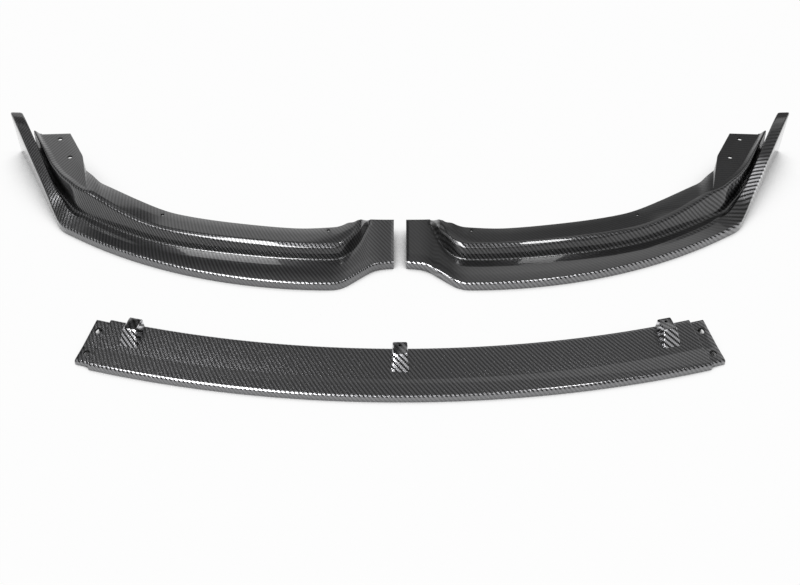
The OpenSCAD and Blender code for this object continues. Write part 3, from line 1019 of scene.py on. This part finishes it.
def blade_hole(turn, radius, height, tilt, diameter):
    way = (math.sin(turn) * math.sin(tilt), -math.cos(turn) * math.sin(tilt), math.cos(tilt))
    return (radius * math.sin(turn), BLADE_Y - radius * math.cos(turn), height), way, diameter


riser_hole_r = BLADE_R - BLADE_D + RISER_SET + WALL + RISER_HOLE
holes = [blade_hole(t, riser_hole_r, RISER_H, 0, RISER_HOLE) for t in (-RISER_TURN, 0, RISER_TURN)]
tab_turn = BLADE_HALF + BLADE_TAB / 2 / BLADE_R
for turn in (-tab_turn, tab_turn):
    for out in (-JOINT_GAP / 2, JOINT_GAP / 2):
        height = TAB_HOLE_H - out * math.tan(TAB_TILT)
        holes.append(blade_hole(turn, BLADE_R - BLADE_D / 2 + out, height, TAB_TILT, JOINT_HOLE))
drill(blade, holes)
finish_shading(blade)

# %% [markdown]
# ## The floor
# The picture is a studio cut-out: pure white, with faint soft shadows at the feet. The floor is
# pale, and a share of plain white is laid over it where the camera or a reflection sees it. That
# share fades by ambient occlusion where the mouldings cover the floor, so the lamps' own shadow
# shows there. Under them the floor's colour is mixed to black by the same occlusion, a painted
# shade, so that the view through a hole is dim.

# %% Floor
FLOOR_SIZE, FLOOR_PAINT, FLOOR_WHITE = 14, 0.95, 0.97
SHADE_REACH, SHADE_SAMPLES = 110 * MM, 8
# Ambient occlusion ramps: one to the painted black shade under the mouldings, one to the white
# share.
OPEN_TO_PAINT, OPEN_TO_WHITE = (0.25, 0.6), (0.3, 0.8)


def mix_shaders(tree, share, first, second):
    """The first where the share is 0, and the second where it is 1."""
    mixed = make_node(tree, "MixShader", None, Fac=share)
    tree.links.new(first.out, mixed.out.node.inputs[1])
    tree.links.new(second.out, mixed.out.node.inputs[2])
    return mixed


def white_floor():
    material = bpy.data.materials.new("studio_floor")
    material.use_nodes = True
    tree = material.node_tree
    tree.nodes.clear()
    out = tree.nodes.new("ShaderNodeOutputMaterial")
    paint = make_node(tree, "BsdfDiffuse", None, Color=(FLOOR_PAINT, FLOOR_PAINT, FLOOR_PAINT, 1))
    painted_shade_black = make_node(tree, "BsdfDiffuse", None, Color=(0, 0, 0, 1))
    glow = make_node(tree, "Emission", None, Color=(1, 1, 1, 1), Strength=1.0)
    path = make_node(tree, "LightPath")
    seen = path.maths("MAXIMUM", path.other("Is Glossy Ray"))
    settings = {"samples": SHADE_SAMPLES}
    openness = make_node(tree, "AmbientOcclusion", settings, Distance=SHADE_REACH).other("AO")
    # Painted shade: the floor's colour goes to black where ambient occlusion finds the mouldings
    # above it.
    painted = mix_shaders(tree, openness.ramp(*OPEN_TO_PAINT), painted_shade_black, paint)
    share = openness.ramp(*OPEN_TO_WHITE) * seen * FLOOR_WHITE
    tree.links.new(mix_shaders(tree, share, painted, glow).out, out.inputs["Surface"])
    return material


bpy.ops.mesh.primitive_plane_add(size=FLOOR_SIZE)
floor = bpy.context.object
floor.name = "studio_floor"
floor.data.materials.append(white_floor())

# %% [markdown]
# ## Light
# A long strip light hangs on the left, from front to back: its reflection is the white streak
# along the left shoulder. A small box on the right gives the short streak there. Both are seen
# in reflections alone. A wide card in front lights the front faces and the floor.
#
# Level faces mirror what stands behind the set, so a graduated screen stands there. It is seen
# in reflections alone. Low on the left it is bright, low on the right it is dark, and it is
# dimmer half way up on the left. That gives each flat face its own grey.

# %% Lamps
ROOM, ROOM_SEEN = 0.35, 0.45


def soft_box(name, location, target, size, radiance, on_floor=True):
    bpy.ops.object.light_add(type="AREA", location=location)
    lamp = bpy.context.object
    lamp.name = name
    lamp.data.shape = "RECTANGLE"
    lamp.data.size, lamp.data.size_y = size
    lamp.data.energy = radiance * math.pi * size[0] * size[1]
    way = Vector(target) - Vector(location)
    lamp.rotation_euler = way.to_track_quat("-Z", "Y").to_euler()
    lamp.visible_camera = False
    lamp.visible_diffuse = on_floor


soft_box("left_strip", (-0.56, -1.05, 1.03), (-0.27, -1.05, 0), (2.2, 0.36), 17.0, on_floor=False)
soft_box("right_box", (0.43, -0.15, 1.0), (0.2, -0.15, 0), (0.25, 0.14), 18.0, on_floor=False)
soft_box("front_fill", (0.0, -2.4, 2.2), (0, 0, 0), (2.6, 1.2), 1.2)

world = bpy.data.worlds.new("studio")
bpy.context.scene.world = world
world.use_nodes = True
tree = world.node_tree
room = tree.nodes["Background"]
path = make_node(tree, "LightPath")
seen = path.maths("MAXIMUM", path.other("Is Transmission Ray"))
shade = path.other("Is Glossy Ray")
plug(tree, room.inputs["Strength"], ROOM + seen * (1 - ROOM) + shade * (ROOM_SEEN - ROOM))
room.inputs["Color"].default_value = (1, 1, 1, 1)

# %% Graduated screen behind the set
SCREEN_Y, SCREEN_H, SCREEN_W = 3.0, 5.6, 9.0
LEFT_TO_RIGHT = (-0.5, 0.7)
LEFT_DIM, LEFT_LOW, LEFT_LOW_ENDS = 0.1, 0.9, (2.1, 2.5)
LEFT_HIGH, LEFT_HIGH_STARTS = 0.5, (3.6, 4.6)
RIGHT_DIM, RIGHT_MIDDLE, RIGHT_MIDDLE_STARTS = 0.2, 1.2, (2.3, 2.9)
RIGHT_LOSS, RIGHT_LOSS_STARTS = 0.5, (3.4, 4.4)


def screen_finish():
    """Glow from the left's and the right's values at each height, in metres."""
    material, tree, shader = new_material("graduated_screen")
    x, _, z = make_node(tree, "TexCoord").other("Object").parts()
    low, high = 1 - z.ramp(*LEFT_LOW_ENDS), z.ramp(*LEFT_HIGH_STARTS)
    left = LEFT_DIM + low * LEFT_LOW + high * LEFT_HIGH
    middle, loss = z.ramp(*RIGHT_MIDDLE_STARTS), z.ramp(*RIGHT_LOSS_STARTS)
    right = RIGHT_DIM + middle * RIGHT_MIDDLE - loss * RIGHT_LOSS
    value = left + x.ramp(*LEFT_TO_RIGHT) * (right - left)
    shader.inputs["Base Color"].default_value = (0, 0, 0, 1)
    shader.inputs["Roughness"].default_value = 1.0
    shader.inputs["Specular IOR Level"].default_value = 0.0
    plug(tree, shader.inputs["Emission Color"], grey_colour(value))
    shader.inputs["Emission Strength"].default_value = 1.0
    return material


bpy.ops.mesh.primitive_plane_add(size=1)
screen = bpy.context.object
screen.name = "graduated_screen"
for vertex in screen.data.vertices:
    x, y, _ = vertex.co
    vertex.co = (x * SCREEN_W, SCREEN_Y, (y + 0.5) * SCREEN_H)
screen.data.materials.append(screen_finish())
screen.visible_camera = screen.visible_diffuse = screen.visible_shadow = False

# %% [markdown]
# ## Handing over
# Each skin stands for the plain solid that it covers, which is hidden, and rides on the one body.

# %% Hand over
for piece, node in ((left_wing, "left_wing"), (right_wing, "right_wing"), (blade, "centre_blade")):
    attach(piece, "root")
    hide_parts(node)
